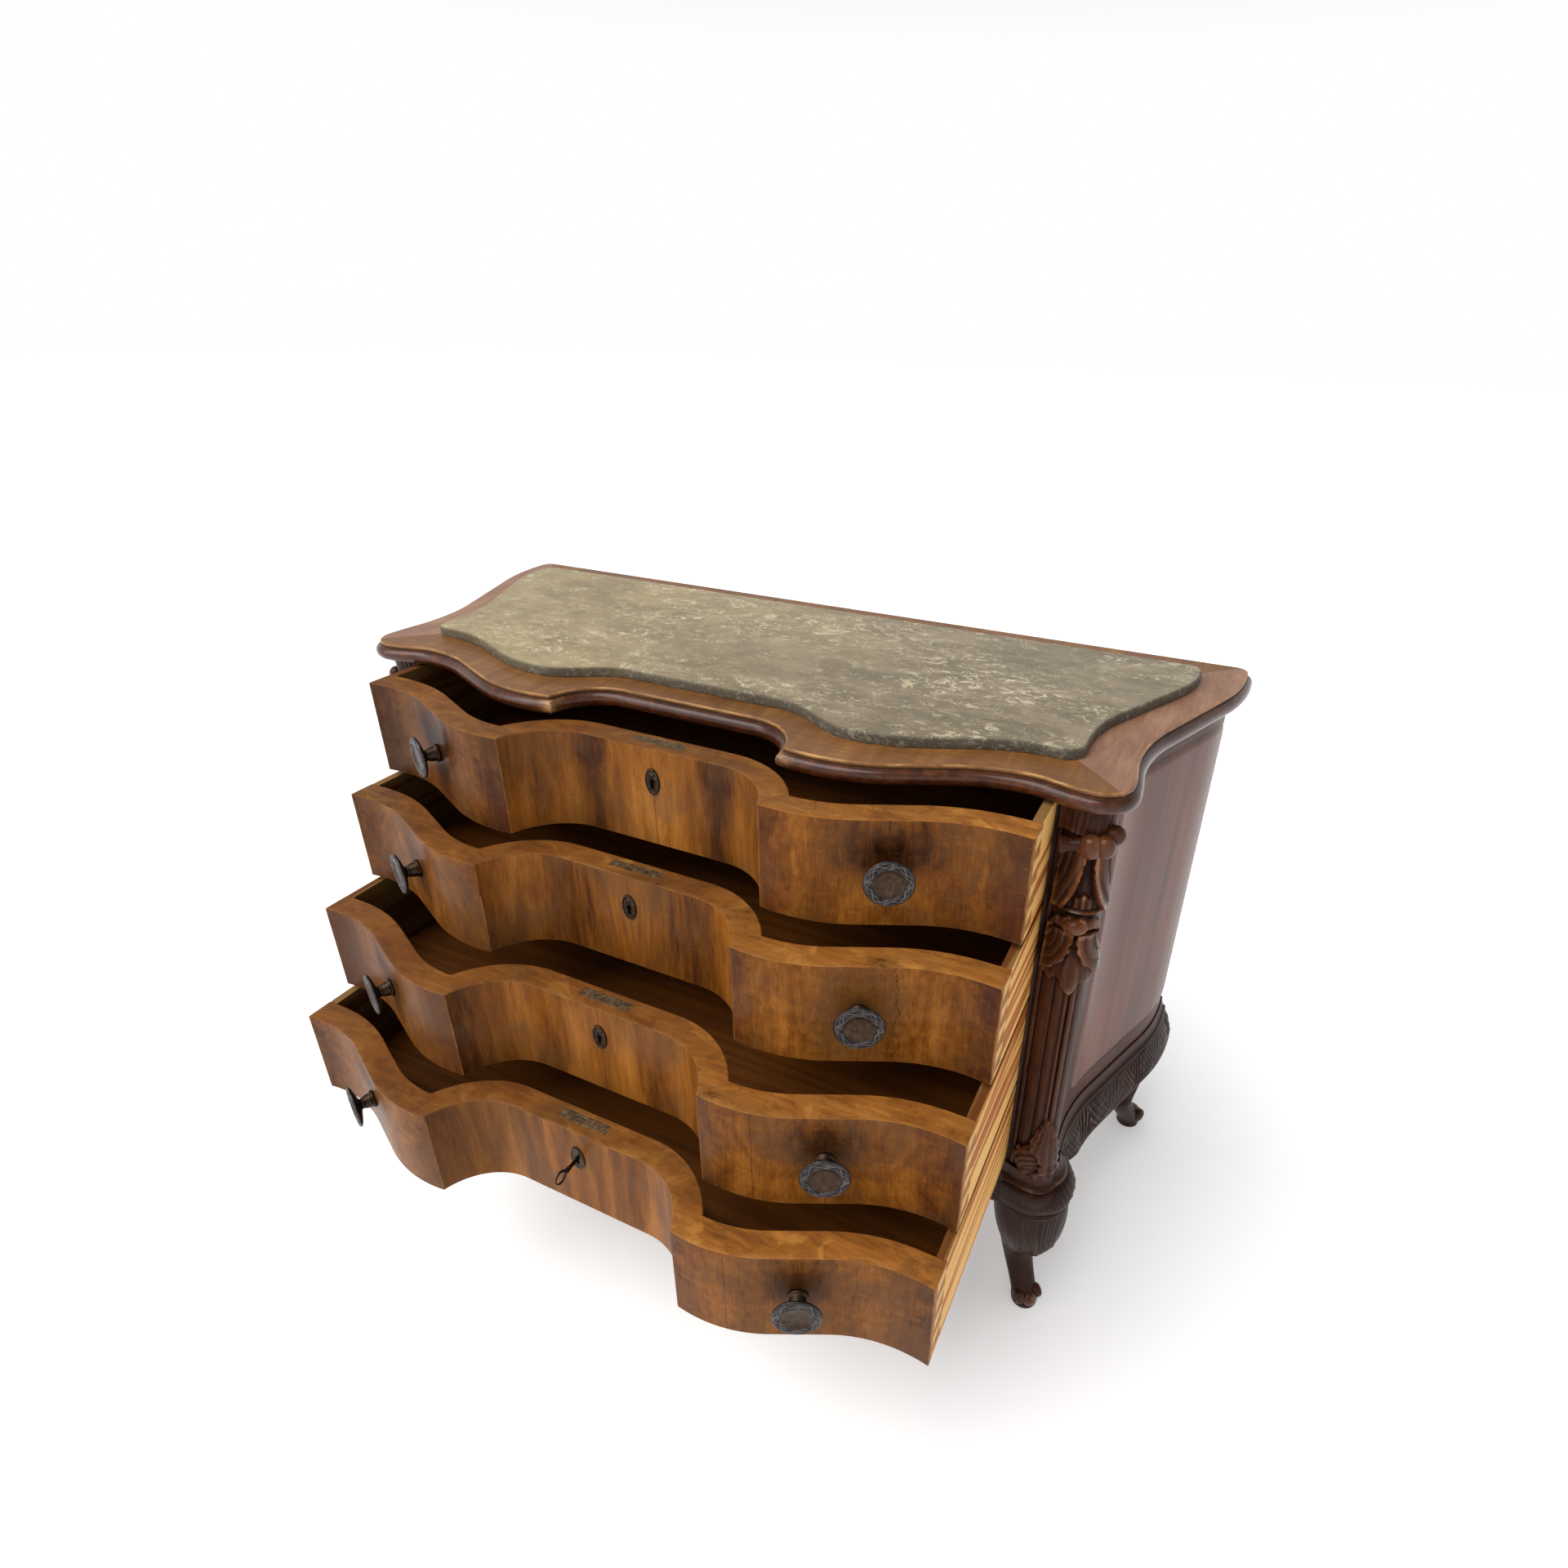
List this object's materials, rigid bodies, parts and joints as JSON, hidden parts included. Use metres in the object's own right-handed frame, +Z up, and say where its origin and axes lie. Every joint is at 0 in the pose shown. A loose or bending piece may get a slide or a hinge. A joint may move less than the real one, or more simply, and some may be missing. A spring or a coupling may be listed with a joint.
{
  "type": "serpentine chest of drawers",
  "caption": "Serpentine-fronted walnut chest of drawers with a marble inset top, carved corner posts and scrolled legs; the drawers slide open and lock with a key.",
  "frame": {"origin": "on the floor, under the middle of the chest's box with the drawers open as pictured", "axes": "+X to the chest's right, the long way; +Y to its back; +Z up; the drawers face -Y"},
  "size_m": [1.266, 0.8264, 0.8848],
  "materials": {
    "walnut_veneer": "french polish, worn",
    "carved_walnut": "dark stain, worn",
    "honey_wood": "polished, worn edges",
    "pine": "bare, aged",
    "marble": "polished",
    "bronze": "cast, patinated",
    "lock_iron": "aged, dull"
  },
  "bodies": {
    "carcass": {"top_board": "honey_wood", "marble_slab": "marble", "left_side_panel": "walnut_veneer", "right_side_panel": "walnut_veneer", "left_front_post": "carved_walnut", "right_front_post": "carved_walnut", "left_back_post": "pine", "right_back_post": "pine", "back_boards": "pine", "bottom_board": "pine", "drawer_rails": "carved_walnut", "drawer_runners": "pine", "front_base_moulding": "carved_walnut", "left_base_moulding": "carved_walnut", "right_base_moulding": "carved_walnut", "back_base_rail": "carved_walnut", "front_left_leg": "carved_walnut", "front_right_leg": "carved_walnut", "rear_left_leg": "carved_walnut", "rear_right_leg": "carved_walnut"},
    "top_drawer": {"top_drawer_front": "walnut_veneer", "top_drawer_left_side": "pine", "top_drawer_right_side": "pine", "top_drawer_back": "pine", "top_drawer_bottom": "pine", "top_drawer_knobs": "bronze", "top_drawer_escutcheon": "bronze", "top_drawer_lock": "lock_iron"},
    "second_drawer": {"second_drawer_front": "walnut_veneer", "second_drawer_left_side": "pine", "second_drawer_right_side": "pine", "second_drawer_back": "pine", "second_drawer_bottom": "pine", "second_drawer_knobs": "bronze", "second_drawer_escutcheon": "bronze", "second_drawer_lock": "lock_iron"},
    "third_drawer": {"third_drawer_front": "walnut_veneer", "third_drawer_left_side": "pine", "third_drawer_right_side": "pine", "third_drawer_back": "pine", "third_drawer_bottom": "pine", "third_drawer_knobs": "bronze", "third_drawer_escutcheon": "bronze", "third_drawer_lock": "lock_iron"},
    "bottom_drawer": {"bottom_drawer_front": "walnut_veneer", "bottom_drawer_left_side": "pine", "bottom_drawer_right_side": "pine", "bottom_drawer_back": "pine", "bottom_drawer_bottom": "pine", "bottom_drawer_knobs": "bronze", "bottom_drawer_escutcheon": "bronze", "bottom_drawer_lock": "lock_iron"},
    "top_drawer_bolt": {"top_drawer_lock_bolt": "lock_iron"},
    "second_drawer_bolt": {"second_drawer_lock_bolt": "lock_iron"},
    "third_drawer_bolt": {"third_drawer_lock_bolt": "lock_iron"},
    "bottom_drawer_bolt": {"bottom_drawer_lock_bolt": "lock_iron"},
    "key": {"bottom_drawer_key": "lock_iron"}
  },
  "joints": [
    {"name": "top_drawer_slide", "type": "slide", "parent": "carcass", "child": "top_drawer", "axis": [0, -1, 0], "range_m": [-0.097, 0.263]},
    {"name": "second_drawer_slide", "type": "slide", "parent": "carcass", "child": "second_drawer", "axis": [0, -1, 0], "range_m": [-0.163, 0.197]},
    {"name": "third_drawer_slide", "type": "slide", "parent": "carcass", "child": "third_drawer", "axis": [0, -1, 0], "range_m": [-0.242, 0.118]},
    {"name": "bottom_drawer_slide", "type": "slide", "parent": "carcass", "child": "bottom_drawer", "axis": [0, -1, 0], "range_m": [-0.307, 0.053]},
    {"name": "top_drawer_bolt_throw", "type": "slide", "parent": "top_drawer", "child": "top_drawer_bolt", "axis": [0, 0, 1], "range_m": [0, 0.006]},
    {"name": "second_drawer_bolt_throw", "type": "slide", "parent": "second_drawer", "child": "second_drawer_bolt", "axis": [0, 0, 1], "range_m": [0, 0.006]},
    {"name": "third_drawer_bolt_throw", "type": "slide", "parent": "third_drawer", "child": "third_drawer_bolt", "axis": [0, 0, 1], "range_m": [0, 0.006]},
    {"name": "bottom_drawer_bolt_throw", "type": "slide", "parent": "bottom_drawer", "child": "bottom_drawer_bolt", "axis": [0, 0, 1], "range_m": [0, 0.006]},
    {"name": "key_turn", "type": "hinge", "parent": "bottom_drawer", "child": "key", "pos_m": [0, -0.341, 0.3798], "axis": [0, -1, 0], "range_deg": [0, 180]}
  ],
  "couplings": [
    {"joint": "key_turn", "follows": "bottom_drawer_bolt_throw", "rad_per_m": 523.5}
  ]
}
